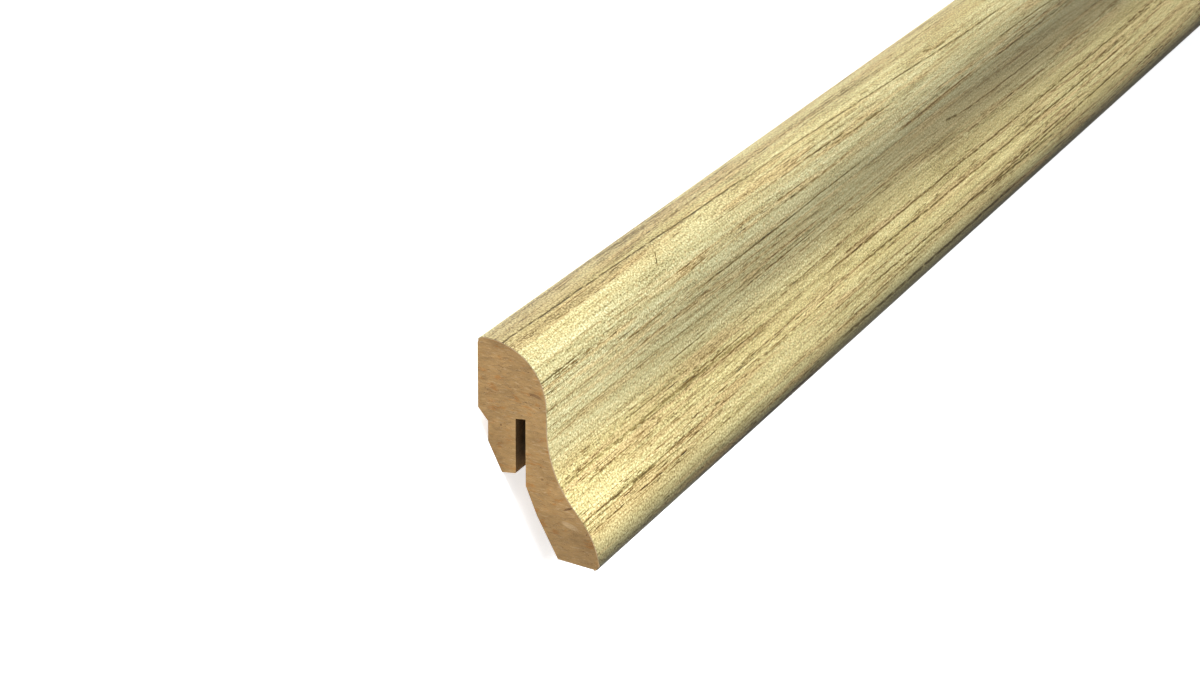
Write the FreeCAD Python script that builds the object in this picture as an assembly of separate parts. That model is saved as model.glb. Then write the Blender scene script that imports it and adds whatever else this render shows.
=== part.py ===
"""Skirting board length: an MDF ogee profile with a clip groove, wrapped in wood decor foil.

The section is drawn as the board stands on a wall: w runs out from the wall plane and u up from
the floor. The finished length then lies as it is stored, face up, on the slanted face of its
tongue. X runs along the board, the top edge is towards +Y and the foot towards -Y. The origin is
under the middle of the board, on the surface that it lies on. All sizes are in millimetres.
"""
import FreeCAD, Part
import math
import os

# Overall sizes, with the foil on
LENGTH = 2400.0
HEIGHT = 40.0
DEPTH = 22.0
FOIL = 0.2

# Front face, with the foil on, from the top edge down
HUMP_RADIUS = 12.5
WAIST_RUN = 2.7
FOOT_RADIUS = 18.8
FOOT_CENTRE_BELOW_FLOOR = 2.1
NOSE_RADIUS = 1.1

# Top back corner of the core, which the foil wraps
ARRIS_RADIUS = 1.0

# Underside: the bare heel lies back from the nose and off the floor
HEEL_BEHIND_NOSE = 7.6
HEEL_RISE = 1.5

# Back, with heights taken from the floor
WALL_STRIP_BOTTOM = 27.5
CHAMFER_DROP = 2.4
NOTCH_DEPTH = 1.8
NOTCH_RUN = 3.5
SLANT_DROP = 5.4
SLANT_DEPTH = 2.5
TONGUE_TIP = 2.5
GROOVE_WIDTH = 1.8
GROOVE_DEPTH = 9.7
RELIEF_TOP = 14.1
KNEE_HEIGHT = 9.0
KNEE_DEPTH = 2.0


def polar(centre, radius, angle):
    """The section point at a radius and an angle, in radians, from a centre."""
    return centre[0] + radius * math.cos(angle), centre[1] + radius * math.sin(angle)


def angle_from(start, end):
    return math.atan2(end[1] - start[1], end[0] - start[0])


def upright(point):
    """A section point (w, u) on the board's near end, with the front towards -Y."""
    return FreeCAD.Vector(0, -point[0], point[1])


def line(start, end):
    return Part.LineSegment(upright(start), upright(end)).toShape()


def arc(centre, radius, first, last):
    """An arc of the section between two angles, in radians."""
    ends = [polar(centre, radius, angle) for angle in (first, (first + last) / 2, last)]
    return Part.Arc(*[upright(point) for point in ends]).toShape()


# The hump is struck from the wall plane, so the waist stands off by the same radius.
# The arris rolls inside it, and the two set the height of the hump's centre.
arris_reach = HUMP_RADIUS - FOIL - ARRIS_RADIUS
arris_rise = math.sqrt(arris_reach ** 2 - ARRIS_RADIUS ** 2)
ARRIS_CENTRE = (ARRIS_RADIUS, HEIGHT - FOIL - ARRIS_RADIUS)
HUMP_CENTRE = (0.0, ARRIS_CENTRE[1] - arris_rise)
HUMP_START = angle_from(HUMP_CENTRE, ARRIS_CENTRE)

# The foil ends on the arris where its outer face comes flush with the wall plane
FOIL_START = math.acos(-ARRIS_RADIUS / (ARRIS_RADIUS + FOIL))

# The nose stands on the floor, and the foot's arc rolls round it from the inside
NOSE_CENTRE = (DEPTH - NOSE_RADIUS, NOSE_RADIUS)
foot_reach = FOOT_RADIUS - NOSE_RADIUS
foot_drop = NOSE_RADIUS + FOOT_CENTRE_BELOW_FLOOR
FOOT_CENTRE = (
    NOSE_CENTRE[0] - math.sqrt(foot_reach ** 2 - foot_drop ** 2),
    -FOOT_CENTRE_BELOW_FLOOR,
)
FOOT_END = angle_from(FOOT_CENTRE, NOSE_CENTRE)

# The cove leaves the waist's lower end and meets the foot, tangent to both
waist_bottom = HUMP_CENTRE[1] - WAIST_RUN
across = HUMP_RADIUS - FOOT_CENTRE[0]
above = waist_bottom - FOOT_CENTRE[1]
COVE_RADIUS = (across ** 2 + above ** 2 - FOOT_RADIUS ** 2) / (2 * (FOOT_RADIUS - across))
COVE_CENTRE = (HUMP_RADIUS + COVE_RADIUS, waist_bottom)
FOOT_START = angle_from(FOOT_CENTRE, COVE_CENTRE)

# The foil is trimmed at the nose's lowest point. Behind it the bare underside runs to the heel,
# tangent to the core's own nose.
FOIL_END = -math.pi / 2
HEEL = (DEPTH - HEEL_BEHIND_NOSE, HEEL_RISE)
core_nose = NOSE_RADIUS - FOIL
heel_tangent = math.acos(core_nose / math.dist(HEEL, NOSE_CENTRE))
NOSE_END = angle_from(NOSE_CENTRE, HEEL) + heel_tangent - 2 * math.pi


def front_edges(inset):
    """The edges that the foil covers, from the arris to the bottom of the nose.

    inset is the depth below the finished face: 0 is the foil's face, FOIL is the core's.
    """
    waist = HUMP_RADIUS - inset
    return [
        arc(ARRIS_CENTRE, ARRIS_RADIUS + FOIL - inset, FOIL_START, HUMP_START),
        arc(HUMP_CENTRE, HUMP_RADIUS - inset, HUMP_START, 0.0),
        line((waist, HUMP_CENTRE[1]), (waist, waist_bottom)),
        arc(COVE_CENTRE, COVE_RADIUS + inset, math.pi, math.pi + FOOT_START),
        arc(FOOT_CENTRE, FOOT_RADIUS - inset, FOOT_START, FOOT_END),
        arc(NOSE_CENTRE, NOSE_RADIUS - inset, FOOT_END, FOIL_END),
    ]


def back_points():
    """The bare MDF corners, from the nose round the heel, relief, groove, tongue and notch."""
    notch_top = WALL_STRIP_BOTTOM - CHAMFER_DROP
    notch_bottom = notch_top - NOTCH_RUN
    tongue_bottom = notch_bottom - SLANT_DROP
    tongue_back = NOTCH_DEPTH + SLANT_DEPTH
    groove_back = tongue_back + TONGUE_TIP
    foot_back = groove_back + GROOVE_WIDTH
    groove_top = tongue_bottom + GROOVE_DEPTH
    return [
        polar(NOSE_CENTRE, core_nose, NOSE_END),
        HEEL,
        (foot_back + KNEE_DEPTH, KNEE_HEIGHT),
        (foot_back, RELIEF_TOP),
        (foot_back, groove_top),
        (groove_back, groove_top),
        (groove_back, tongue_bottom),
        (tongue_back, tongue_bottom),
        (NOTCH_DEPTH, notch_bottom),
        (NOTCH_DEPTH, notch_top),
        (0.0, WALL_STRIP_BOTTOM),
        (0.0, ARRIS_CENTRE[1]),
    ]


def extruded(edges):
    """The whole length of a section, as it stands on the wall."""
    face = Part.Face(Part.Wire(Part.sortEdges(edges)[0]))
    return face.extrude(FreeCAD.Vector(LENGTH, 0, 0))


def mdf_core():
    """The machined board: the covered front, and the back's straight cuts."""
    corners = back_points()
    edges = front_edges(FOIL)
    edges.append(arc(NOSE_CENTRE, core_nose, FOIL_END, NOSE_END))
    edges += [line(*pair) for pair in zip(corners, corners[1:])]
    edges.append(arc(ARRIS_CENTRE, ARRIS_RADIUS, math.pi, FOIL_START))
    return extruded(edges)


def decor_foil():
    """The skin glued over the front: the same curves at two depths, closed at its cut edges."""
    depths = (0.0, FOIL)
    arris_edge = [polar(ARRIS_CENTRE, ARRIS_RADIUS + depth, FOIL_START) for depth in depths]
    nose_edge = [polar(NOSE_CENTRE, NOSE_RADIUS - depth, FOIL_END) for depth in depths]
    edges = front_edges(0.0) + front_edges(FOIL)
    edges += [line(*arris_edge), line(*nose_edge)]
    return extruded(edges)


def stored(pieces):
    """Lays the board on its tongue's slanted face and sets the origin under its middle."""
    lie_down = math.degrees(math.atan2(SLANT_DROP, SLANT_DEPTH))
    for shape in pieces.values():
        shape.rotate(FreeCAD.Vector(), FreeCAD.Vector(1, 0, 0), -lie_down)
    box = Part.Compound(list(pieces.values())).optimalBoundingBox(False)
    for shape in pieces.values():
        shape.translate(FreeCAD.Vector(-box.Center.x, -box.Center.y, -box.ZMin))
    return pieces


os.makedirs("parts", exist_ok=True)
for name, solid in stored({"mdf_core": mdf_core(), "decor_foil": decor_foil()}).items():
    solid.exportStep(f"parts/{name}.step")
    print(name, "closed" if solid.isValid() else "faulty", round(solid.Volume), "mm3")
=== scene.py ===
"""Skirting board length: the decor-wrapped MDF board, lying face up on a studio floor.

The section is drawn as the board stands on a wall: w runs out from the wall and u up from the
floor. The board then lies on the slanted face of its tongue, where the CAD frame has it: X runs
along the board, the top edge is towards +Y and the foot towards -Y. Sizes are in metres.
"""
import math

import bmesh
import bpy
from bpy.props import FloatProperty, FloatVectorProperty, IntProperty, PointerProperty
from mathutils import Matrix, Vector


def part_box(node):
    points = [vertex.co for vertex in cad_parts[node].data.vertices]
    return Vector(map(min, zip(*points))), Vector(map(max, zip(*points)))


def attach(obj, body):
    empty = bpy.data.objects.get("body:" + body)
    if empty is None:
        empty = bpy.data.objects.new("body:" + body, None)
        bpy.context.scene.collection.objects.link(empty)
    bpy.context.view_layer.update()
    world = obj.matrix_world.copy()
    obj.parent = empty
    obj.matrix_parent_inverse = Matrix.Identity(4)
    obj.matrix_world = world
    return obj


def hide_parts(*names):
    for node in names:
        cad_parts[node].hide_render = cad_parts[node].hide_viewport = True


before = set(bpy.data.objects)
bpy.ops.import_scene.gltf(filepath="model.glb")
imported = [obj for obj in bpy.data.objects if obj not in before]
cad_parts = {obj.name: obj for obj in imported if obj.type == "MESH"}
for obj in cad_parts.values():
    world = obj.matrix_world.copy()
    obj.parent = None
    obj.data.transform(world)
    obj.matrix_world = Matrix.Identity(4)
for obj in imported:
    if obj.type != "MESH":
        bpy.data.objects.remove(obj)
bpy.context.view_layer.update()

bl_info = {
    "name": "Skirting Board Length",
    "version": (1, 0, 0),
    "blender": (4, 5, 0),
    "location": "3D View > Sidebar > Skirting",
    "description": "Builds an ogee skirting board with a decor foil over an MDF core",
    "category": "Add Mesh",
}

MM_PER_METRE = 1000.0


# Sizes and colours that a user would change

def distance(name, description, default):
    return FloatProperty(
        name=name,
        description=description,
        default=default,
        min=0.0,
        precision=5,
        unit="LENGTH",
    )


def amount(name, description, default, most=1.0):
    return FloatProperty(name=name, description=description, default=default, min=0.0, max=most)


def colour(name, description, default):
    return FloatVectorProperty(
        name=name,
        description=description,
        default=default,
        size=3,
        min=0.0,
        max=1.0,
        subtype="COLOR",
    )


class SKIRTING_PG_sizes(bpy.types.PropertyGroup):
    length: distance("Length", "Sold length of the board", 2.4)
    height: distance("Height", "From the nose to the top edge", 0.040)
    depth: distance("Depth", "From the wall to the front of the nose", 0.022)
    foil: distance("Foil", "Thickness of the decor foil", 0.0002)
    hump_radius: distance("Hump radius", "Radius of the hump at the top", 0.0125)
    waist_run: distance("Waist run", "Straight upright run below the hump", 0.0027)
    foot_radius: distance("Foot radius", "Radius of the swelling above the nose", 0.0188)
    foot_drop: distance("Foot centre drop", "How far the foot is struck below the floor", 0.0021)
    nose_radius: distance("Nose radius", "Radius of the lowest front edge", 0.0011)
    arris_radius: distance("Arris radius", "Radius of the core's top back edge", 0.001)
    heel_back: distance("Heel back", "From the front of the nose back to the heel", 0.0076)
    heel_rise: distance("Heel rise", "Height of the heel off the floor", 0.0015)
    strip_bottom: distance("Strip bottom", "Lower end of the strip on the wall", 0.0275)
    chamfer_drop: distance("Chamfer drop", "Height of the chamfer under the strip", 0.0024)
    notch_depth: distance("Notch depth", "Depth of the notch behind the strip", 0.0018)
    notch_run: distance("Notch run", "Height of the notch", 0.0035)
    slant_drop: distance("Slant drop", "Height of the tongue's slanted face", 0.0054)
    slant_depth: distance("Slant depth", "Depth of the tongue's slanted face", 0.0025)
    tongue_tip: distance("Tongue tip", "Flat tip of the tongue", 0.0025)
    groove_width: distance("Groove width", "Width of the clip groove", 0.0018)
    groove_depth: distance("Groove depth", "Depth of the clip groove", 0.0097)
    relief_top: distance("Relief top", "Height where the foot's back starts to slope", 0.0141)
    knee_height: distance("Knee height", "Height of the knee behind the foot", 0.009)
    knee_depth: distance("Knee depth", "How far the knee lies in from the groove", 0.002)
    corner_wear: distance("Corner wear", "Radius that handling leaves on bare corners", 0.00015)
    saw_chips: distance("Saw chips", "Deepest chip in the foil's sawn edge", 0.00012)


class SKIRTING_PG_decor(bpy.types.PropertyGroup):
    cream: colour("Cream", "Light ground of the oak print", (0.55, 0.495, 0.252))
    butter: colour("Butter", "Yellower ground towards the foot", (0.58, 0.50, 0.225))
    straw: colour("Straw", "Yellower bands of the print", (0.44, 0.36, 0.145))
    moss: colour("Moss", "Cool greenish grey bands of the print", (0.39, 0.37, 0.195))
    blush: colour("Blush", "Pinkish tan beside the grain lines", (0.49, 0.37, 0.165))
    tan: colour("Tan", "Broad darker patches of the print", (0.40, 0.315, 0.14))
    rust: colour("Rust", "Golden brown grain lines", (0.235, 0.142, 0.034))
    ink: amount("Ink", "How dark the pores and dashes are printed", 0.85)
    paper: colour("Paper", "Cut edge of the foil", (0.42, 0.29, 0.17))
    pore_depth: distance("Pore depth", "Depth of the pressed pores", 0.00004)
    roughness: amount("Roughness", "Mean roughness of the satin lacquer", 0.5)


class SKIRTING_PG_board(bpy.types.PropertyGroup):
    sawn: colour("Sawn", "MDF across the saw cut", (0.335, 0.203, 0.082))
    machined: colour("Machined", "MDF on the moulded back", (0.29, 0.178, 0.078))
    amber: colour("Amber", "Resin-rich orange patches", (0.33, 0.155, 0.045))
    fleck: colour("Fleck", "Dark bark flecks", (0.10, 0.045, 0.02))
    fibre: colour("Fibre", "Pale loose fibres", (0.44, 0.30, 0.155))
    fibre_length: distance("Fibre length", "Longest raised fibre", 0.0014)
    fibre_width: distance("Fibre width", "Thickness of a raised fibre", 0.00003)
    fibres_per_mm2: amount("Fibres per mm2", "Raised fibres on each mm2 of a sawn end", 4.0, 20.0)
    seed: IntProperty(name="Seed", description="Scatter of the fibres", default=7, min=0)


class SKIRTING_PG_studio(bpy.types.PropertyGroup):
    focal_px: amount("Focal length", "Focal length in pixels of the frame", 4880.0, 20000.0)
    distance: distance("Distance", "Camera to the near end's top back corner", 0.8344)
    key_power: amount("Key power", "Power of the long soft light, in watts", 115.0, 500.0)
    fill_power: amount("Fill power", "Power of the light over the near part, in watts", 0.53, 500.0)
    end_power: amount("End power", "Power of the light over the near end, in watts", 0.024, 500.0)
    sky: amount("Sky", "Strength of the even light all round", 0.43, 10.0)
    floor: colour("Floor", "Pale studio floor", (0.90, 0.93, 0.96))
    floor_glow: amount("Floor glow", "Light from below the floor", 0.65, 10.0)


# The section, from the same tangent arcs as the solid

# Longest step along the foil's curves, in metres
SAMPLE = 0.00035

# Steps in each of the board's small bare arcs, and the shares along a worn corner
ARC_STEPS = 4
WORN_SHARES = (0.0, 0.25, 0.5, 0.75, 1.0)

# Corners that turn less than this stay as they are, and wear takes at most this share of a side
SHARP_TURN = math.radians(12)
MOST_WORN = 0.3


def polar(centre, radius, angle):
    return centre[0] + radius * math.cos(angle), centre[1] + radius * math.sin(angle)


def angle_from(start, end):
    return math.atan2(end[1] - start[1], end[0] - start[0])


class Section:
    """The board's outline on the wall, and where it lies in the frame."""

    def __init__(self, sizes):
        self.sizes = sizes
        reach = sizes.hump_radius - sizes.foil - sizes.arris_radius
        rise = math.sqrt(reach ** 2 - sizes.arris_radius ** 2)
        self.arris = (sizes.arris_radius, sizes.height - sizes.foil - sizes.arris_radius)
        self.hump = (0.0, self.arris[1] - rise)
        self.nose = (sizes.depth - sizes.nose_radius, sizes.nose_radius)
        foot_reach = sizes.foot_radius - sizes.nose_radius
        foot_fall = sizes.nose_radius + sizes.foot_drop
        foot_w = self.nose[0] - math.sqrt(foot_reach ** 2 - foot_fall ** 2)
        self.foot = (foot_w, -sizes.foot_drop)
        waist_bottom = self.hump[1] - sizes.waist_run
        across = sizes.hump_radius - foot_w
        above = waist_bottom - self.foot[1]
        cove_square = across ** 2 + above ** 2 - sizes.foot_radius ** 2
        self.cove_radius = cove_square / (2 * (sizes.foot_radius - across))
        self.cove = (sizes.hump_radius + self.cove_radius, waist_bottom)
        self.foil_start = math.acos(-sizes.arris_radius / (sizes.arris_radius + sizes.foil))
        self.hump_start = angle_from(self.hump, self.arris)
        self.foot_start = angle_from(self.foot, self.cove)
        self.foot_end = angle_from(self.foot, self.nose)
        self.foil_end = -math.pi / 2
        self.heel = (sizes.depth - sizes.heel_back, sizes.heel_rise)
        groove_back = sizes.notch_depth + sizes.slant_depth + sizes.tongue_tip
        self.groove_middle = groove_back + sizes.groove_width / 2
        tilt = math.atan2(sizes.slant_drop, sizes.slant_depth)
        self.lean = (math.cos(tilt), math.sin(tilt))
        self.shift = (0.0, 0.0)
        face = [self.lying(w, u) for w, u, _ in self.front(0.0)]
        back = [self.lying(w, u) for w, u in self.back()]
        low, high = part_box("decor_foil")
        middle = (min(y for y, _ in face) + max(y for y, _ in face)) / 2
        self.shift = ((low.y + high.y) / 2 - middle, -min(z for _, z in back))

    def lying(self, w, u):
        """The (y, z) of a section point on the board as it lies."""
        across, along = self.lean
        y = u * along - w * across + self.shift[0]
        return y, w * along + u * across + self.shift[1]

    def front(self, inset):
        """Points (w, u, developed width) over the front; inset is the depth below the face."""
        s = self.sizes
        runs = [
            (self.arris, s.arris_radius + s.foil, -1, self.foil_start, self.hump_start),
            (self.hump, s.hump_radius, -1, self.hump_start, 0.0),
            (None, s.waist_run, 0, self.hump[1], self.hump[1] - s.waist_run),
            (self.cove, self.cove_radius, 1, math.pi, math.pi + self.foot_start),
            (self.foot, s.foot_radius, -1, self.foot_start, self.foot_end),
            (self.nose, s.nose_radius, -1, self.foot_end, self.foil_end),
        ]
        points = []
        run_so_far = 0.0
        for centre, radius, side, first, last in runs:
            size = abs(last - first) * (radius if centre else 1.0)
            count = max(2, math.ceil(size / SAMPLE))
            for step in range(count if centre is not self.nose else count + 1):
                share = step / count
                at = first + (last - first) * share
                if centre:
                    spot = polar(centre, radius + side * inset, at)
                else:
                    spot = (s.hump_radius - inset, at)
                points.append((*spot, run_so_far + size * share))
            run_so_far += size
        return points

    def back(self):
        """The bare corners from the nose round the heel, groove, tongue and wall strip."""
        s = self.sizes
        core_nose = s.nose_radius - s.foil
        tangent = math.acos(core_nose / math.dist(self.heel, self.nose))
        nose_end = angle_from(self.nose, self.heel) + tangent - 2 * math.pi
        notch_top = s.strip_bottom - s.chamfer_drop
        notch_bottom = notch_top - s.notch_run
        tongue_bottom = notch_bottom - s.slant_drop
        tongue_back = s.notch_depth + s.slant_depth
        groove_back = tongue_back + s.tongue_tip
        foot_back = groove_back + s.groove_width
        groove_top = tongue_bottom + s.groove_depth
        nose_turn = nose_end - self.foil_end
        under_nose = [
            polar(self.nose, core_nose, self.foil_end + nose_turn * step / ARC_STEPS)
            for step in range(1, ARC_STEPS + 1)
        ]
        corners = [
            self.heel,
            (foot_back + s.knee_depth, s.knee_height),
            (foot_back, s.relief_top),
            (foot_back, groove_top),
            (groove_back, groove_top),
            (groove_back, tongue_bottom),
            (tongue_back, tongue_bottom),
            (s.notch_depth, notch_bottom),
            (s.notch_depth, notch_top),
            (0.0, s.strip_bottom),
        ]
        arris_turn = self.foil_start - math.pi
        over_arris = [
            polar(self.arris, s.arris_radius, math.pi + arris_turn * step / ARC_STEPS)
            for step in range(ARC_STEPS)
        ]
        bare = worn(corners, under_nose[-1], over_arris[0], s.corner_wear)
        return under_nose + bare + over_arris


def worn(corners, before, after, radius):
    """Corners of the section with the outward ones rounded off and the inward ones left sharp."""
    run = [Vector(before), *map(Vector, corners), Vector(after)]
    points = []
    for last, here, following in zip(run, run[1:], run[2:]):
        back, ahead = last - here, following - here
        turn = (-back).angle_signed(ahead)
        if turn < SHARP_TURN:
            points.append(tuple(here))
            continue
        room = min(back.length, ahead.length) * MOST_WORN
        reach = min(radius * math.tan(turn / 2), room)
        start = here + back.normalized() * reach
        end = here + ahead.normalized() * reach
        for share in WORN_SHARES:
            points.append(tuple(start.lerp(here, share).lerp(here.lerp(end, share), share)))
    return points


# Node trees, with maths written as expressions

class Wire:
    """An output socket; arithmetic on it adds Math nodes to its tree."""

    def __init__(self, maker, socket):
        self.maker = maker
        self.socket = socket

    def out(self, name):
        """Another output of the same node."""
        return Wire(self.maker, self.maker.socket(self.socket.node.outputs, name))

    def __add__(self, other):
        return self.maker.maths("ADD", self, other)

    def __sub__(self, other):
        return self.maker.maths("SUBTRACT", self, other)

    def __rsub__(self, other):
        return self.maker.maths("SUBTRACT", other, self)

    def __mul__(self, other):
        return self.maker.maths("MULTIPLY", self, other)

    def __truediv__(self, other):
        return self.maker.maths("DIVIDE", self, other)

    def __rtruediv__(self, other):
        return self.maker.maths("DIVIDE", other, self)

    def __pow__(self, other):
        return self.maker.maths("POWER", self, other)

    def __neg__(self):
        return self.maker.maths("MULTIPLY", self, -1.0)

    def __abs__(self):
        return self.maker.maths("ABSOLUTE", self)

    def __gt__(self, other):
        return self.maker.maths("GREATER_THAN", self, other)

    def __lt__(self, other):
        return self.maker.maths("LESS_THAN", self, other)

    __radd__ = __add__
    __rmul__ = __mul__


class Maker:
    """Adds nodes to a tree: kind, settings first, then the values and links of its sockets."""

    def __init__(self, tree):
        self.tree = tree
        self.column = 0

    def node(self, kind, settings=None, inputs=None, output=0):
        made = self.tree.nodes.new(kind)
        self.column += 1
        made.location = (self.column % 24 * 180.0, -(self.column // 24) * 220.0)
        for name, value in (settings or {}).items():
            if name == "curve":
                self.curve(made.mapping, value)
            else:
                setattr(made, name, value)
        for key, value in (inputs or {}).items():
            self.feed(self.socket(made.inputs, key), value)
        return Wire(self, self.socket(made.outputs, output)) if len(made.outputs) else None

    def socket(self, sockets, key):
        if isinstance(key, int):
            return sockets[key]
        found = [socket for socket in sockets if socket.name == key and socket.enabled]
        if not found:
            raise KeyError(f"no socket {key} among {[socket.name for socket in sockets]}")
        return found[0]

    def feed(self, socket, value):
        if isinstance(value, Wire):
            self.tree.links.new(value.socket, socket)
        elif socket.type == "RGBA" and len(value) == 3:
            socket.default_value = (*value, 1.0)
        else:
            socket.default_value = value

    def maths(self, operation, *terms):
        return self.node("ShaderNodeMath", {"operation": operation}, dict(enumerate(terms)))

    def axes(self, vector):
        """The three values of a vector."""
        x = self.node("ShaderNodeSeparateXYZ", inputs={"Vector": vector}, output="X")
        return x, x.out("Y"), x.out("Z")

    def curve(self, mapping, points):
        """Sets the points of a float curve's one line."""
        line = mapping.curves[0].points
        while len(line) < len(points):
            line.new(0.5, 0.5)
        for point, place in zip(line, points):
            point.location = place
            point.handle_type = "AUTO_CLAMPED"
        mapping.update()

    def vector(self, x, y, z):
        return self.node("ShaderNodeCombineXYZ", inputs={"X": x, "Y": y, "Z": z})

    def ease(self, value, low, high):
        """0 below low, 1 above high, and a smooth step between them; low may be the larger."""
        settings = {"interpolation_type": "SMOOTHSTEP", "clamp": False}
        spans = {"Value": value, "From Min": low, "From Max": high}
        return self.node("ShaderNodeMapRange", settings, spans)

    def clouds(self, vector, detail=2.0, roughness=0.5, scale=1.0):
        """Noise from about 0.2 to 0.8, with its middle at 0.5."""
        sizes = {"Vector": vector, "Scale": scale, "Detail": detail, "Roughness": roughness}
        return self.node("ShaderNodeTexNoise", {"noise_dimensions": "3D"}, sizes)

    def most(self, *values):
        """The largest of several values."""
        largest = values[0]
        for value in values[1:]:
            largest = self.maths("MAXIMUM", largest, value)
        return largest

    def mix(self, factor, first, second):
        settings = {"data_type": "RGBA", "clamp_factor": True}
        inputs = {"Factor": factor, "A": first, "B": second}
        return self.node("ShaderNodeMix", settings, inputs, "Result")

    def shade(self, base, factor):
        """A colour multiplied by a value, as a vector so that its hue stays."""
        settings = {"operation": "SCALE"}
        return self.node("ShaderNodeVectorMath", settings, {"Vector": base, "Scale": factor})

    def inked(self, base, tone):
        """A colour made darker or lighter as by brown ink, which takes its blue down fastest."""
        follow = self.vector(tone ** 0.92, tone ** 1.04, tone ** 1.4)
        return self.node("ShaderNodeVectorMath", {"operation": "MULTIPLY"}, {0: base, 1: follow})


def new_material(name):
    """An empty material tree's maker, and a call that closes it with a shader."""
    material = bpy.data.materials.new(name)
    material.use_nodes = True
    material.node_tree.nodes.clear()
    maker = Maker(material.node_tree)

    def close(**inputs):
        named = {key.replace("_", " "): value for key, value in inputs.items()}
        surface = maker.node("ShaderNodeBsdfPrincipled", inputs=named)
        maker.node("ShaderNodeOutputMaterial", inputs={"Surface": surface})
        return material

    return maker, close


# Oak decor foil

# Long grain lines of the print: places in mm from the near end and down from the top edge, then
# the line's half width in mm and its strength
GRAIN_LINES = [
    ([(-25, 4.5), (0, 4.8), (75, 5.7), (115, 6.3), (160, 6.6)], 0.24, 0.95),
    ([(155, 6.7), (225, 7.9), (300, 9.4), (370, 10.3)], 0.22, 0.9),
    ([(74.0, 10.4), (79.0, 7.7)], 0.28, 0.95),
    ([(228, 6.8), (236, 7.2)], 0.25, 0.7),
    ([(239, 6.2), (243, 7.6)], 0.2, 0.7),
    ([(281, 7.4), (288, 7.9)], 0.3, 0.8),
    ([(-4, 14.8), (14, 14.7)], 0.2, 0.95),
    ([(127, 18.7), (143, 19.0)], 0.22, 0.95),
    ([(142, 20.7), (150, 20.9)], 0.22, 0.95),
    ([(58, 1.6), (75, 1.9), (93, 2.3)], 0.35, 0.6),
    ([(45, 18.0), (58, 18.2), (70, 17.9)], 0.25, 0.85),
    ([(82, 18.8), (110, 18.9), (140, 19.0), (185, 18.8), (222, 19.0)], 0.25, 0.9),
    ([(96, 21.6), (113, 21.9)], 0.2, 0.7),
    ([(-10, 24.6), (40, 24.1), (100, 24.9), (150, 24.7), (205, 24.7)], 0.2, 0.6),
    ([(68, 28.0), (94, 27.9)], 0.22, 0.85),
    ([(-15, 33.5), (60, 33.4), (73, 33.6), (130, 33.9)], 0.32, 0.65),
    ([(150, 34.6), (230, 34.8), (257, 34.8), (330, 35.2), (480, 35.3)], 0.26, 0.9),
    ([(-15, 40.6), (30, 40.7), (75, 41.2)], 0.2, 0.8),
    ([(-10, 41.5), (25, 41.4), (60, 41.9)], 0.18, 0.75),
    ([(170, 42.4), (290, 42.9), (340, 43.0), (400, 42.8), (480, 42.6)], 0.27, 0.95),
    ([(290, 43.2), (318, 43.6), (350, 43.8)], 0.34, 0.95),
    ([(165, 37.6), (235, 38.0), (300, 38.4), (360, 38.6), (480, 38.7)], 0.28, 0.95),
    ([(238, 18.6), (275, 18.3), (312, 18.0)], 0.26, 0.85),
    ([(288.4, 6.3), (289.6, 8.9)], 0.45, 0.85),
    ([(321.8, 6.9), (322.8, 8.8)], 0.4, 0.8),
    ([(288, 8.3), (299, 8.5)], 0.3, 0.8),
    ([(280, 24.5), (292, 25.3)], 0.4, 0.85),
    ([(146, 46.8), (190, 47.0), (260, 47.1), (330, 47.0)], 0.36, 0.9),
    ([(172, 10.8), (186, 11.1), (206, 11.4)], 0.22, 0.95),
    ([(190, 11.9), (215, 12.2), (243, 12.4)], 0.22, 0.85),
    ([(26, 41.1), (42, 41.0)], 0.26, 0.95),
    ([(330, 15.2), (360, 15.5), (400, 16.1)], 0.25, 0.8),
    ([(322, 18.8), (380, 19.0), (425, 18.8)], 0.22, 0.8),
    ([(285, 25.1), (310, 25.8), (350, 26.2), (398, 26.3)], 0.24, 0.8),
]

# Where lines gather: middle and half run along, middle and half width across, in mm, and how much
LINE_CLUSTERS = [
    (35, 55, 6.5, 1.6, 0.8),
    (105, 60, 3.3, 2.6, 0.75),
    (150, 45, 9.8, 1.8, 0.8),
    (122, 60, 14.2, 1.6, 0.8),
    (20, 40, 14.9, 1.4, 0.9),
    (145, 35, 25.6, 2.2, 0.95),
    (60, 85, 34.0, 1.9, 0.9),
    (40, 70, 41.2, 1.8, 1.0),
    (275, 45, 17.2, 2.8, 0.95),
    (380, 70, 17.5, 3.0, 0.9),
    (300, 80, 43.0, 1.8, 0.9),
    (320, 35, 43.4, 1.4, 1.0),
    (230, 50, 28.0, 1.8, 0.7),
    (330, 70, 30.6, 2.0, 0.7),
    (250, 70, 37.6, 1.8, 0.85),
    (400, 70, 36.5, 2.6, 0.8),
    (435, 60, 28.8, 1.8, 0.95),
    (300, 70, 8.5, 1.6, 0.6),
    (400, 60, 12.5, 2.0, 0.8),
    (125, 60, 7.0, 1.6, 0.75),
    (225, 60, 11.6, 1.8, 0.8),
]

# Broad darker patches, placed in the same way: print, except the patch over the near foot and the
# one over the far cove, which are painted shade
PRINT_AND_SHADE_PATCHES = [
    (35, 55, 6.7, 1.5, 0.85),
    (100, 60, 3.2, 2.0, 0.55),
    (0, 60, 3.4, 2.2, 0.7),
    (20, 60, 44.6, 3.4, 0.5),
    (400, 210, 25.0, 5.5, 0.5),
]

# The developed width that the two curves below run over, in mm from the top edge
CURVE_WIDTH = 50.0

# Tone across the print's width: painted shade that darkens the top edge and the nose
EDGE_SHADE_TONES = [
    (0.0, 0.53),
    (0.06, 0.61),
    (0.11, 0.72),
    (0.17, 0.94),
    (0.24, 0.98),
    (0.38, 1.0),
    (0.48, 0.94),
    (0.66, 0.95),
    (0.87, 0.92),
    (0.91, 0.82),
    (0.94, 0.7),
    (1.0, 0.62),
]

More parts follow.
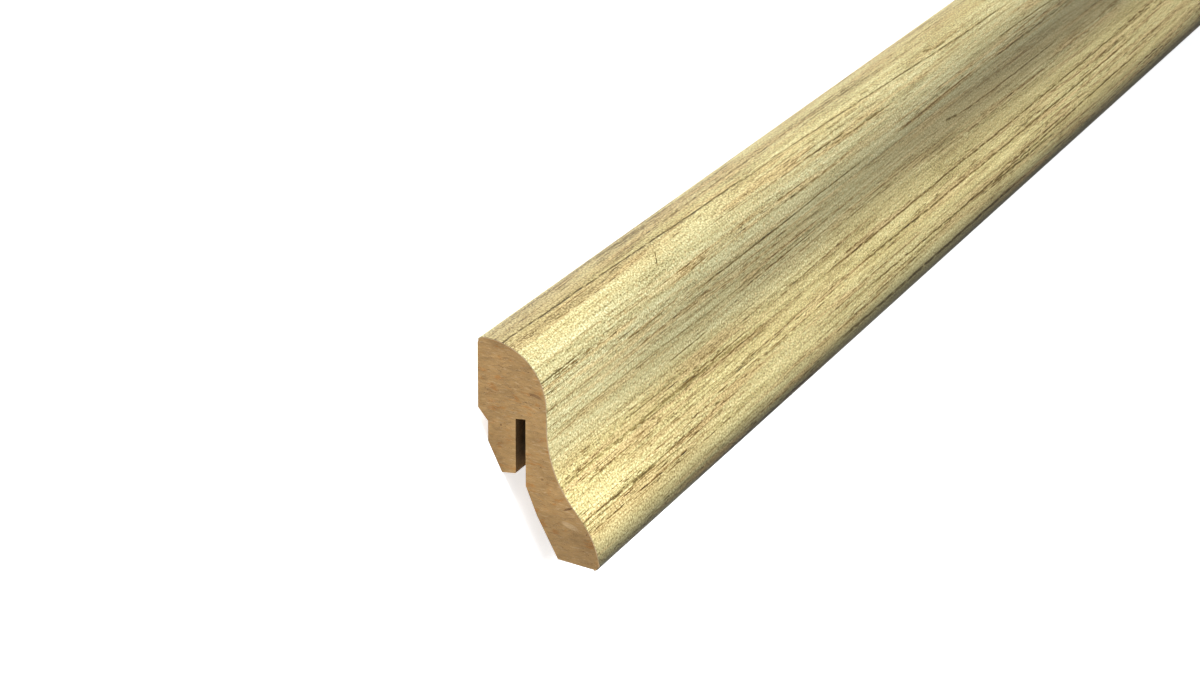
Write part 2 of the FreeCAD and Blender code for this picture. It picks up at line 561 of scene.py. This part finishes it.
# How thickly fine lines gather across the width
LINE_ZONES = [
    (0.0, 0.7),
    (0.12, 0.55),
    (0.2, 0.35),
    (0.36, 0.7),
    (0.5, 0.5),
    (0.68, 0.9),
    (1.0, 1.0),
]


def lines_mask(m, along, across):
    """The listed grain lines, each fading in and out along its run."""
    total = None
    waver = m.clouds(m.vector(along / 9.0, across / 3.0, 31.0), 2.0) - 0.5
    fray = m.clouds(m.vector(along / 3.5, across / 0.35, 33.0), 2.0, 0.6)
    bent = across + waver * 0.5
    for places, half_width, strength in GRAIN_LINES:
        start, end = places[0][0], places[-1][0]
        run = end - start
        downs = [down for _, down in places]
        low, high = min(downs) - 0.5, max(downs) + 0.5
        rise = high - low
        curve = [((at - start) / run, (down - low) / rise) for at, down in places]
        share = (along - start) / run
        middle = m.node("ShaderNodeFloatCurve", {"curve": curve}, {"Value": share})
        off = abs(bent - low - middle * rise)
        line = m.ease(off, half_width, half_width * 0.45)
        fade = m.ease(share, 0.0, 0.12) * m.ease(share, 1.0, 0.85)
        part = line * fade * strength
        total = part if total is None else m.most(total, part)
    return total * m.ease(fray, 0.3, 0.52)


def decor_finish(decor):
    """Printed light oak in satin lacquer: ground colours, grain lines and pressed pores, with
    painted shade at the edges and in two broad patches.
    """
    m, close = new_material("Oak decor foil")
    place = m.node("ShaderNodeTexCoord", output="UV")
    place_x, place_y, _ = m.axes(place)
    along, across = place_x * MM_PER_METRE, place_y * MM_PER_METRE

    def noise(down, run, rise, seed, detail=2.0, roughness=0.5):
        """Noise drawn out to run along the board and rise across it, in mm."""
        return m.clouds(m.vector(along / run, down / rise, seed), detail, roughness)

    # The grain drifts slowly up and down as it runs along
    slow = noise(across, 310.0, 19.0, 1.0, 1.0) - 0.5
    sway = noise(across, 60.0, 6.0, 2.0, 1.0) - 0.5
    drift = across + slow * 4.0 + sway * 0.5

    def grain(run, rise, seed, detail=2.0, roughness=0.5):
        return noise(drift, run, rise, seed, detail, roughness)

    def streaks(run, rise, seed, low, high, detail=2.0):
        return m.ease(grain(run, rise, seed, detail, 0.6), low, high)

    down_curve = across / CURVE_WIDTH
    zone = m.node("ShaderNodeFloatCurve", {"curve": LINE_ZONES}, {"Value": down_curve})
    crowd = m.ease(grain(150.0, 2.6, 12.0, 2.0), 0.4, 0.6) * zone

    def gathered(start, places):
        """A mask raised at each place of a table, and fading out to its edges."""
        for middle_x, half_x, middle_v, half_v, strength in places:
            lengthways = m.ease(abs(along - middle_x), half_x, half_x * 0.6)
            crossways = m.ease(abs(drift - middle_v), half_v, half_v * 0.4)
            start = m.most(start, lengthways * crossways * strength)
        return start

    crowd = gathered(crowd, LINE_CLUSTERS)
    print_and_shade_patches = gathered(0.0, PRINT_AND_SHADE_PATCHES)
    boards = grain(420.0, 9.0, 3.0, 1.0)
    threads = grain(9.0, 0.34, 6.0, 2.0, 0.6)
    speckle = noise(across, 0.75, 0.36, 7.0, 2.0, 0.7)
    chroma = noise(across, 1.6, 0.7, 8.0, 1.0) - 0.5
    breaks = streaks(4.5, 0.4, 21.0, 0.38, 0.56)

    # Ground colours, from the light cream to the cooler and darker bands
    ground = m.mix(m.ease(drift, 27.0, 34.0), decor.cream[:], decor.butter[:])
    ground = m.mix(streaks(90.0, 3.0, 4.0, 0.42, 0.62, 3.0) * 0.6, ground, decor.straw[:])
    cool = m.ease(abs(drift - 19.0), 12.0, 7.0) * 0.45 + m.ease(boards, 0.45, 0.7) * 0.3
    ground = m.mix(cool, ground, decor.moss[:])
    ground = m.mix(m.ease(chroma, 0.02, 0.22) * 0.4, ground, decor.moss[:])
    ground = m.mix(m.ease(chroma, -0.04, -0.22) * 0.6, ground, decor.blush[:])
    # Tan patches of the print, and two patches of painted shade
    ground = m.mix(print_and_shade_patches * (0.6 + threads * 0.8), ground, decor.tan[:])
    # Greener ground over the nose: the tint of the painted shade there
    ground = m.mix(m.ease(across, 43.0, 47.5) * 0.7, ground, decor.moss[:])
    blushes = streaks(60.0, 1.1, 5.0, 0.45, 0.6) * (0.12 + crowd * 0.88)
    ground = m.mix(blushes, ground, decor.blush[:])

    # Brown grain lines, fine hairs and short pore dashes
    lines = streaks(130.0, 0.56, 9.0, 0.56, 0.635) * (0.2 + breaks * 0.8) * (0.3 + crowd * 0.7)
    hairs = streaks(26.0, 0.32, 13.0, 0.555, 0.63) * breaks * (0.08 + crowd * 0.92)
    dashes = streaks(7.0, 0.27, 11.0, 0.58, 0.65) * (0.1 + lines * 0.7 + crowd * 0.8)
    ground = m.mix(m.most(lines, hairs), ground, decor.rust[:])
    listed = lines_mask(m, along, across)
    dark = m.most(listed, lines * breaks * 0.65, hairs * 0.65, dashes)

    # Tone, with streaks that go darker more than lighter
    # Painted shade at the top edge and the nose, multiplied into the print's tone
    edge_shade = m.node("ShaderNodeFloatCurve", {"curve": EDGE_SHADE_TONES}, {"Value": down_curve})
    fine = grain(50.0, 1.0, 17.0, 1.0)
    streak = (threads - 0.5) * 0.75 + (fine - 0.5) * 1.2
    streak = streak - m.most(streak, 0.0) * 0.5
    tone = 1.06 + streak + (speckle - 0.5) * 3.8
    print_colour = m.inked(ground, m.most(tone, 0.2) * edge_shade * (1.0 - dark * decor.ink))
    # Painted shade over the nose, darker towards its lowest edge
    print_colour = m.shade(print_colour, 1.0 - m.ease(across, 45.5, 49.0) * 0.8)

    # The paper shows where the foil is cut
    cut = m.node("ShaderNodeAttribute", {"attribute_name": "foil_depth"}, output="Fac")
    paper = m.ease(cut, 0.02, 0.35)
    base = m.mix(paper, print_colour, decor.paper[:])

    height = (threads - 0.5) * 0.35 + (speckle - 0.5) * 0.15 - dark
    bump = m.node(
        "ShaderNodeBump",
        inputs={"Strength": 0.8, "Distance": decor.pore_depth, "Height": height * (1.0 - paper)},
    )
    satin = decor.roughness + dark * 0.15 + (speckle - 0.5) * 0.2 + paper * 0.3
    return close(Base_Color=base, Roughness=satin, Normal=bump, Specular_IOR_Level=0.2)


# Bare MDF

# Flecks seen on the near sawn end: w and u in mm, half sizes along both in mm, slope, strength
END_FLECKS = [
    (16.3, 10.6, 0.9, 0.2, 0.3, 0.8),
    (4.2, 24.6, 0.22, 0.22, 0.0, 0.75),
    (11.6, 15.5, 0.25, 0.2, 0.0, 0.6),
    (10.4, 30.2, 1.2, 0.3, -0.35, 0.6),
]

# A pale smear on the same end
END_SMEARS = [(16.6, 7.6, 1.6, 0.5, -0.4, 0.9)]

# Where the saw blade turned, in mm from the wall and the floor
SAW_CENTRE = (-120.0, -60.0)

# Depth of the saw's and the planer's marks, in metres
MARK_DEPTH = 0.00008


def mdf_finish(board, section):
    """Bare MDF: felted fibres on the sawn ends, planed lines behind, and painted shade in the
    groove and towards the foot.
    """
    m, close = new_material("Bare MDF")
    place = m.node("ShaderNodeTexCoord", output="Object")
    facing_x, _, _ = m.axes(place.out("Normal"))
    ends = m.ease(abs(facing_x), 0.6, 0.8)
    place_x, place_y, place_z = m.axes(place)
    along = place_x * MM_PER_METRE
    y = (place_y - section.shift[0]) * MM_PER_METRE
    z = (place_z - section.shift[1]) * MM_PER_METRE
    lean_w, lean_u = section.lean
    w = z * lean_u - y * lean_w
    u = y * lean_u + z * lean_w
    tilted = u + w * 0.18

    def fibres(run_w, run_u, run_x, seed, detail=2.0, roughness=0.55):
        """Felted noise with its sizes in mm, lying slightly tilted to the board's faces."""
        spot = m.vector(along / run_x + seed, w / run_w, tilted / run_u)
        return m.clouds(spot, detail, roughness)

    mat = fibres(1.5, 0.32, 1.2, 1.5, 3.0, 0.62)
    hair = fibres(0.55, 0.09, 0.5, 5.5, 2.0)
    cloud = fibres(5.5, 3.0, 6.0, 9.5, 2.0)
    patch = m.ease(fibres(2.2, 0.8, 3.0, 14.5, 2.0), 0.55, 0.7)
    pale = m.ease(fibres(1.3, 0.22, 0.6, 21.5, 2.0), 0.58, 0.7)
    specks = m.ease(fibres(0.6, 0.35, 0.6, 27.5, 1.0), 0.76, 0.8)
    near_end = (along < 0.0) * ends

    def marked(start, marks):
        """A mask raised at each mark of a table, on the near end only."""
        for at_w, at_u, half_w, half_u, slope, strength in marks:
            off_w, off_u = w - at_w, u - at_u
            away = ((off_w + (hair - 0.5) * 0.5) / half_w) ** 2.0
            away = away + ((off_u - off_w * slope) / half_u) ** 2.0
            start = m.most(start, near_end * m.ease(away, 1.3, 0.4) * strength)
        return start

    specks = marked(specks, END_FLECKS)
    smears = marked(0.0, END_SMEARS)

    # The sawn ends, with resin-rich patches and pale wisps
    sawn = m.mix(patch * 0.8, board.sawn[:], board.amber[:])
    sawn = m.mix(m.most(pale * 0.7, smears), sawn, board.fibre[:])

    # The planed back, with painted shade in the groove, deeper on its front wall
    lines = m.clouds(m.vector(along / 55.0, w / 0.16, u / 0.16), 3.0, 0.6)
    planed = m.mix(patch * 0.25, board.machined[:], board.amber[:])
    groove = section.groove_middle * MM_PER_METRE
    # Painted shade in the groove's recess
    painted_groove_shade = m.ease(abs(w - groove), 1.1, 0.95) * m.ease(u, 15.5, 19.0)
    painted_groove_shade = painted_groove_shade * m.ease(w, groove - 0.5, groove + 0.5) * 0.3 + painted_groove_shade * 0.25
    planed = m.shade(planed, (1.0 + (lines - 0.5) * 0.3) * (1.0 - painted_groove_shade))
    base = m.mix(ends, planed, sawn)

    # Uneven all over, and painted shade that darkens it towards the foot
    tone = 1.0 + (mat - 0.5) * 0.8 + (cloud - 0.5) * 0.65 + (hair - 0.5) * 0.45
    # Painted shade towards the foot
    tone = tone * (1.0 - m.ease(u, 13.0, 5.0) * 0.25)
    base = m.shade(base, tone)
    base = m.mix(specks, base, board.fleck[:])

    kerf = m.node(
        "ShaderNodeTexWave",
        {"wave_type": "RINGS", "rings_direction": "SPHERICAL"},
        {
            "Vector": m.vector(0.0, w - SAW_CENTRE[0], u - SAW_CENTRE[1]),
            "Scale": 0.22,
            "Distortion": 1.0,
        },
        "Fac",
    )
    rough_cut = (mat - 0.5) * 0.8 + (hair - 0.5) * 0.5 + kerf * 0.15 * ends - specks * 0.4
    planed_lines = (lines - 0.5) * 0.7 * (1.0 - ends)
    bump = m.node(
        "ShaderNodeBump",
        inputs={"Strength": 0.7, "Distance": MARK_DEPTH, "Height": rough_cut + planed_lines},
    )
    rough = 0.78 + (mat - 0.5) * 0.3 + ends * 0.08
    return close(Base_Color=base, Roughness=rough, Normal=bump, Specular_IOR_Level=0.2)


def fibre_finish(board):
    """Loose fibres, mostly pale and a few dark."""
    m, close = new_material("Loose MDF fibre")
    tint = m.node("ShaderNodeAttribute", {"attribute_name": "fibre_tint"}, output="Fac")
    base = m.mix(m.ease(tint, 0.2, 0.8), board.sawn[:], board.fibre[:])
    base = m.mix(m.ease(tint, 0.12, 0.04), base, board.fleck[:])
    place = m.node("ShaderNodeTexCoord", output="Object")
    along = m.clouds(place, 1.0, 0.5, 4000.0)
    base = m.shade(base, 0.85 + along * 0.3)
    return close(Base_Color=base, Roughness=0.75 + along * 0.2)


# Geometry Nodes

# Rings of the sweep along the board, and how near its end counts as the sawn edge, in metres
STATIONS = 49
END_REACH = 0.00001

# The shortest fibre that is kept, as a share of the longest
LEAST_FIBRE = 0.12

# The angles over which an edge is drawn sharp
FOIL_EDGE = math.radians(35)
BOARD_EDGE = math.radians(25)

# Room for the fibres over each sawn end, in fibre widths
NAP_WIDTHS = 1.3


def new_tree(name, sockets):
    """The maker of a new geometry tree, and the tree's named inputs."""
    tree = bpy.data.node_groups.new(name, "GeometryNodeTree")
    for label, kind in sockets:
        tree.interface.new_socket(label, in_out="INPUT", socket_type=kind)
    tree.interface.new_socket("Mesh", in_out="OUTPUT", socket_type="NodeSocketGeometry")
    maker = Maker(tree)
    first = maker.node("NodeGroupInput")
    return maker, {label: first.out(label) for label, _ in sockets}


def close_tree(maker, mesh, finish):
    """Makes the result plain, gives it its finish and closes the tree."""
    plain = maker.node("GeometryNodeRealizeInstances", inputs={"Geometry": mesh})
    done = maker.node("GeometryNodeSetMaterial", inputs={"Geometry": plain, "Material": finish})
    maker.node("NodeGroupOutput", inputs={"Mesh": done})
    return maker.tree


def sweep_tree():
    """Draws a closed section, given as edges, along the length and closes its sawn ends."""
    maker, given = new_tree("Board sweep", [
        ("Section", "NodeSocketGeometry"),
        ("Length", "NodeSocketFloat"),
        ("Stations", "NodeSocketInt"),
        ("Saw chips", "NodeSocketFloat"),
        ("Finish", "NodeSocketMaterial"),
    ])
    outline = maker.node("GeometryNodeMeshToCurve", inputs={"Mesh": given["Section"]})
    half = given["Length"] * 0.5
    start = maker.vector(-half, 0.0, 0.0)
    end = maker.vector(half, 0.0, 0.0)
    path = maker.node("GeometryNodeCurvePrimitiveLine", inputs={"Start": start, "End": end})
    path = maker.node(
        "GeometryNodeResampleCurve", inputs={"Curve": path, "Count": given["Stations"]}
    )
    swept = maker.node(
        "GeometryNodeCurveToMesh",
        inputs={"Curve": path, "Profile Curve": outline, "Fill Caps": True},
    )
    place = maker.node("GeometryNodeInputPosition")
    x, _, _ = maker.axes(place)
    across = maker.node(
        "GeometryNodeInputNamedAttribute",
        {"data_type": "FLOAT"},
        {"Name": "foil_across"},
        "Attribute",
    )
    mapped = maker.node(
        "GeometryNodeStoreNamedAttribute",
        {"data_type": "FLOAT2", "domain": "CORNER"},
        {"Geometry": swept, "Name": "UVMap", "Value": maker.vector(x + half, across, 0.0)},
    )
    ragged = maker.clouds(place, 2.0, 0.7, 1900.0)
    bite = maker.node(
        "ShaderNodeMapRange", inputs={"Value": ragged, "From Min": 0.5, "From Max": 0.75}
    )
    inward = maker.maths("SIGN", x) * bite * -1.0
    at_end = abs(x) > half - END_REACH
    chipped = maker.node(
        "GeometryNodeSetPosition",
        inputs={
            "Geometry": mapped,
            "Selection": at_end,
            "Offset": maker.vector(inward * given["Saw chips"], 0.0, 0.0),
        },
    )
    smooth = maker.node("GeometryNodeSetShadeSmooth", inputs={"Geometry": chipped})
    return close_tree(maker, smooth, given["Finish"])


def fibre_tree():
    """Scatters bent loose fibres over the sawn ends of the board."""
    maker, given = new_tree("Sawn end fibres", [
        ("Board", "NodeSocketGeometry"),
        ("Density", "NodeSocketFloat"),
        ("Fibre length", "NodeSocketFloat"),
        ("Fibre width", "NodeSocketFloat"),
        ("Bed angle", "NodeSocketFloat"),
        ("Seed", "NodeSocketInt"),
        ("Finish", "NodeSocketMaterial"),
    ])
    facing = maker.node("GeometryNodeInputNormal")
    x, _, _ = maker.axes(facing)
    points = maker.node(
        "GeometryNodeDistributePointsOnFaces",
        {"distribute_method": "RANDOM"},
        {
            "Mesh": given["Board"],
            "Selection": abs(x) > 0.9,
            "Density": given["Density"],
            "Seed": given["Seed"],
        },
    )
    outward = points.out("Normal")
    length, width = given["Fibre length"], given["Fibre width"]
    clear = maker.node(
        "GeometryNodeProximity",
        {"target_element": "EDGES"},
        {"Geometry": given["Board"]},
        "Distance",
    )
    bent = maker.node(
        "GeometryNodeCurveQuadraticBezier",
        inputs={
            "Resolution": 4,
            "Start": maker.vector(length * -0.5, 0.0, width * 0.1),
            "Middle": maker.vector(length * 0.1, length * 0.22, width * 0.7),
            "End": maker.vector(length * 0.5, 0.0, width * 0.1),
        },
    )
    round_cut = maker.node(
        "GeometryNodeCurvePrimitiveCircle", inputs={"Resolution": 3, "Radius": width * 0.5}
    )
    strand = maker.node(
        "GeometryNodeCurveToMesh",
        inputs={"Curve": bent, "Profile Curve": round_cut, "Fill Caps": True},
    )

    def chance(low, high, offset):
        return maker.node(
            "FunctionNodeRandomValue",
            {"data_type": "FLOAT"},
            {"Min": low, "Max": high, "Seed": given["Seed"] + offset},
            "Value",
        )

    swing = given["Bed angle"] + chance(-0.5, 0.5, 1.0)
    lie = maker.vector(0.0, maker.maths("COSINE", swing), maker.maths("SINE", swing))
    turned = maker.node(
        "FunctionNodeAxesToRotation",
        {"primary_axis": "Z", "secondary_axis": "X"},
        {"Primary Axis": outward, "Secondary Axis": lie},
    )
    size = maker.maths("MINIMUM", chance(0.3, 1.0, 2.0), clear * 1.9 / length)
    placed = maker.node(
        "GeometryNodeInstanceOnPoints",
        inputs={
            "Points": points,
            "Selection": size > LEAST_FIBRE,
            "Instance": strand,
            "Rotation": turned,
            "Scale": size,
        },
    )
    tinted = maker.node(
        "GeometryNodeStoreNamedAttribute",
        {"data_type": "FLOAT", "domain": "INSTANCE"},
        {"Geometry": placed, "Name": "fibre_tint", "Value": chance(0.0, 1.0, 3.0)},
    )
    return close_tree(maker, tinted, given["Finish"])


def in_scene(name, data):
    """A new object in the scene for a mesh, a camera or a light."""
    made = bpy.data.objects.new(name, data)
    bpy.context.scene.collection.objects.link(made)
    return made


def grown(name, mesh, tree, values):
    """The plain mesh object that a tree makes from a base mesh and named input values."""
    base = in_scene(name + "_base", mesh)
    modifier = base.modifiers.new("Build", "NODES")
    modifier.node_group = tree
    for socket in tree.interface.items_tree:
        if socket.name in values and socket.in_out == "INPUT":
            modifier[socket.identifier] = values[socket.name]
    bpy.context.view_layer.update()
    depsgraph = bpy.context.evaluated_depsgraph_get()
    made = bpy.data.meshes.new_from_object(
        base.evaluated_get(depsgraph), preserve_all_data_layers=True, depsgraph=depsgraph
    )
    base.modifiers.clear()
    bpy.data.objects.remove(base)
    made.name = name
    return in_scene(name, made)


def face_outwards(mesh):
    """Turns a closed mesh right side out where its volume comes out negative."""
    form = bmesh.new()
    form.from_mesh(mesh)
    if form.calc_volume(signed=True) < 0:
        bmesh.ops.reverse_faces(form, faces=form.faces)
    form.to_mesh(mesh)
    form.free()


def outline_mesh(name, points, attributes):
    """A closed ring of edges; the sweep turns its plane, so the section is drawn turned."""
    mesh = bpy.data.meshes.new(name)
    count = len(points)
    ring = [(index, (index + 1) % count) for index in range(count)]
    mesh.from_pydata([(-y, -z, 0.0) for y, z in points], ring, [])
    for label, values in attributes.items():
        mesh.attributes.new(label, "FLOAT", "POINT").data.foreach_set("value", values)
    return mesh


# Operators

class SKIRTING_OT_decor_foil(bpy.types.Operator):
    """Wraps the front of the board in oak decor foil"""

    bl_idname = "skirting.decor_foil"
    bl_label = "Decor Foil"

    def execute(self, context):
        sizes = context.scene.skirting_sizes
        section = Section(sizes)
        outer = section.front(0.0)
        inner = section.front(sizes.foil)[::-1]
        ring = outer + inner
        attributes = {
            "foil_across": [across for _, _, across in ring],
            "foil_depth": [0.0] * len(outer) + [1.0] * len(inner),
        }
        places = [section.lying(w, u) for w, u, _ in ring]
        mesh = outline_mesh("foil_section", places, attributes)
        piece = grown("decor_skin", mesh, sweep_tree(), {
            "Length": sizes.length,
            "Stations": STATIONS,
            "Saw chips": sizes.saw_chips,
            "Finish": decor_finish(context.scene.skirting_decor),
        })
        face_outwards(piece.data)
        piece.data.set_sharp_from_angle(angle=FOIL_EDGE)
        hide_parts("decor_foil")
        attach(piece, "root")
        return {"FINISHED"}


class SKIRTING_OT_mdf_board(bpy.types.Operator):
    """Machines the MDF board and raises loose fibres on its sawn ends"""

    bl_idname = "skirting.mdf_board"
    bl_label = "MDF Board"

    def execute(self, context):
        sizes = context.scene.skirting_sizes
        board = context.scene.skirting_board
        section = Section(sizes)
        front = [(w, u) for w, u, _ in section.front(sizes.foil)]
        places = [section.lying(w, u) for w, u in front + section.back()]
        mesh = outline_mesh("board_section", places, {})
        nap = board.fibre_width * NAP_WIDTHS
        core = grown("mdf_board", mesh, sweep_tree(), {
            "Length": sizes.length - 2 * nap,
            "Stations": STATIONS,
            "Saw chips": 0.0,
            "Finish": mdf_finish(board, section),
        })
        face_outwards(core.data)
        core.data.set_sharp_from_angle(angle=BOARD_EDGE)
        fibres = grown("sawn_end_fibres", core.data.copy(), fibre_tree(), {
            "Density": board.fibres_per_mm2 * MM_PER_METRE ** 2,
            "Fibre length": board.fibre_length,
            "Fibre width": board.fibre_width,
            "Bed angle": math.pi - math.atan2(section.lean[1], section.lean[0]),
            "Seed": board.seed,
            "Finish": fibre_finish(board),
        })
        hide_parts("mdf_core")
        for piece in (core, fibres):
            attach(piece, "root")
        return {"FINISHED"}


# The frame in pixels, where the board's long edges meet, and where its top back corner shows
FRAME_WIDTH = 1200
FRAME_HEIGHT = 675
VANISHING_POINT = (2230.0, -905.4)
TOP_BACK_CORNER = (477.6, 336.2)

# The same corner on the section, in metres from the wall and the floor
CORNER_W = 0.00003
CORNER_U = 0.03997

# Camera sensor in mm, and half the floor's side in metres
SENSOR_WIDTH = 36.0
FLOOR_HALF = 15.0

# Tints of the floor's glow and of the sky
GLOW_TINT = (0.97, 1.0, 1.03)
SKY_TINT = (1.0, 0.99, 0.96, 1.0)

# Soft lights: name, place, aim, size and the studio value that gives the power
SOFT_LIGHTS = [
    ("Key", (-0.3, 2.3, 0.85), (-0.3, 0.0, 0.0), (3.6, 1.1), "key_power"),
    ("Fill", (-1.15, -0.12, 0.28), (-1.15, 0.0, 0.01), (0.2, 0.12), "fill_power"),
    ("End light", (-1.195, -0.012, 0.07), (-1.195, 0.0, 0.01), (0.02, 0.02), "end_power"),
]


class SKIRTING_OT_studio(bpy.types.Operator):
    """Sets the camera, the pale floor and the soft lights"""

    bl_idname = "skirting.studio"
    bl_label = "Studio"

    def execute(self, context):
        studio = context.scene.skirting_studio
        section = Section(context.scene.skirting_sizes)
        self.place_camera(context, studio, section)
        self.lay_floor(studio)
        self.hang_lights(context, studio)
        context.scene.view_settings.view_transform = "Standard"
        return {"FINISHED"}

    def place_camera(self, context, studio, section):
        """The board's long edges meet at the vanishing point, and its upright stays upright."""
        focal = studio.focal_px

        def seen(pixel):
            """The way that the camera looks through a pixel, in its own axes."""
            return Vector((pixel[0] - FRAME_WIDTH / 2, FRAME_HEIGHT / 2 - pixel[1], -focal))

        lengthways = seen(VANISHING_POINT).normalized()
        upright = Vector((0.0, focal, lengthways.y / -lengthways.z * focal)).normalized()
        outwards = lengthways.cross(upright)
        lean_w, lean_u = section.lean
        lying_axes = Matrix((
            (1.0, 0.0, 0.0),
            (0.0, lean_u, -lean_w),
            (0.0, lean_w, lean_u),
        ))
        turn = lying_axes @ Matrix((lengthways, upright, outwards))
        corner = Vector((-section.sizes.length / 2, *section.lying(CORNER_W, CORNER_U)))
        ray = seen(TOP_BACK_CORNER).normalized() * studio.distance
        camera = bpy.data.cameras.new("Camera")
        camera.sensor_width = SENSOR_WIDTH
        camera.lens = focal / FRAME_WIDTH * camera.sensor_width
        camera.clip_start = 0.01
        camera.clip_end = 100.0
        holder = in_scene("Camera", camera)
        holder.matrix_world = Matrix.Translation(corner - turn @ ray) @ turn.to_4x4()
        context.scene.camera = holder

    def lay_floor(self, studio):
        mesh = bpy.data.meshes.new("studio_floor")
        signs = ((-1, -1), (1, -1), (1, 1), (-1, 1))
        corners = [(x * FLOOR_HALF, y * FLOOR_HALF, 0.0) for x, y in signs]
        mesh.from_pydata(corners, [], [(0, 1, 2, 3)])
        m, close = new_material("Pale floor")
        place = m.node("ShaderNodeTexCoord", output="Object")
        faint = m.clouds(place, 2.0, 0.5, 3.0)
        paint = m.shade(studio.floor[:], 0.99 + faint * 0.02)
        mesh.materials.append(
            close(
                Base_Color=paint,
                Roughness=0.9,
                Emission_Color=GLOW_TINT,
                Emission_Strength=studio.floor_glow,
            )
        )
        floor = in_scene("studio_floor", mesh)

    def hang_lights(self, context, studio):
        for name, place, aim, size, power in SOFT_LIGHTS:
            self.softbox(name, place, aim, size, getattr(studio, power))
        world = bpy.data.worlds.new("Studio sky")
        world.use_nodes = True
        back = world.node_tree.nodes["Background"]
        back.inputs["Color"].default_value = SKY_TINT
        back.inputs["Strength"].default_value = studio.sky
        context.scene.world = world

    def softbox(self, name, place, aim, size, power):
        """A rectangular light that the camera doesn't see."""
        light = bpy.data.lights.new(name, "AREA")
        light.shape = "RECTANGLE"
        light.size, light.size_y = size
        light.energy = power
        holder = in_scene(name, light)
        direction = Vector(aim) - Vector(place)
        turn = direction.to_track_quat("-Z", "Y").to_matrix().to_4x4()
        holder.matrix_world = Matrix.Translation(place) @ turn
        holder.visible_camera = False


class SKIRTING_PT_panel(bpy.types.Panel):
    """Lists the pieces of the board and the values behind them"""

    bl_idname = "SKIRTING_PT_panel"
    bl_label = "Skirting Board"
    bl_space_type = "VIEW_3D"
    bl_region_type = "UI"
    bl_category = "Skirting"

    def draw(self, context):
        for operator in OPERATORS:
            self.layout.operator(operator.bl_idname)
        for name in GROUPS:
            box = self.layout.box()
            values = getattr(context.scene, name)
            for key in values.bl_rna.properties.keys():
                if key not in ("rna_type", "name"):
                    box.prop(values, key)


OPERATORS = (SKIRTING_OT_studio, SKIRTING_OT_decor_foil, SKIRTING_OT_mdf_board)
GROUPS = {
    "skirting_sizes": SKIRTING_PG_sizes,
    "skirting_decor": SKIRTING_PG_decor,
    "skirting_board": SKIRTING_PG_board,
    "skirting_studio": SKIRTING_PG_studio,
}


def register():
    for kind in (*GROUPS.values(), *OPERATORS, SKIRTING_PT_panel):
        bpy.utils.register_class(kind)
    for name, kind in GROUPS.items():
        setattr(bpy.types.Scene, name, PointerProperty(type=kind))


def unregister():
    for name in GROUPS:
        delattr(bpy.types.Scene, name)
    for kind in (SKIRTING_PT_panel, *OPERATORS, *GROUPS.values()):
        bpy.utils.unregister_class(kind)


def main():
    register()
    bpy.ops.skirting.studio()
    bpy.ops.skirting.decor_foil()
    bpy.ops.skirting.mdf_board()


if __name__ == "__main__":
    main()
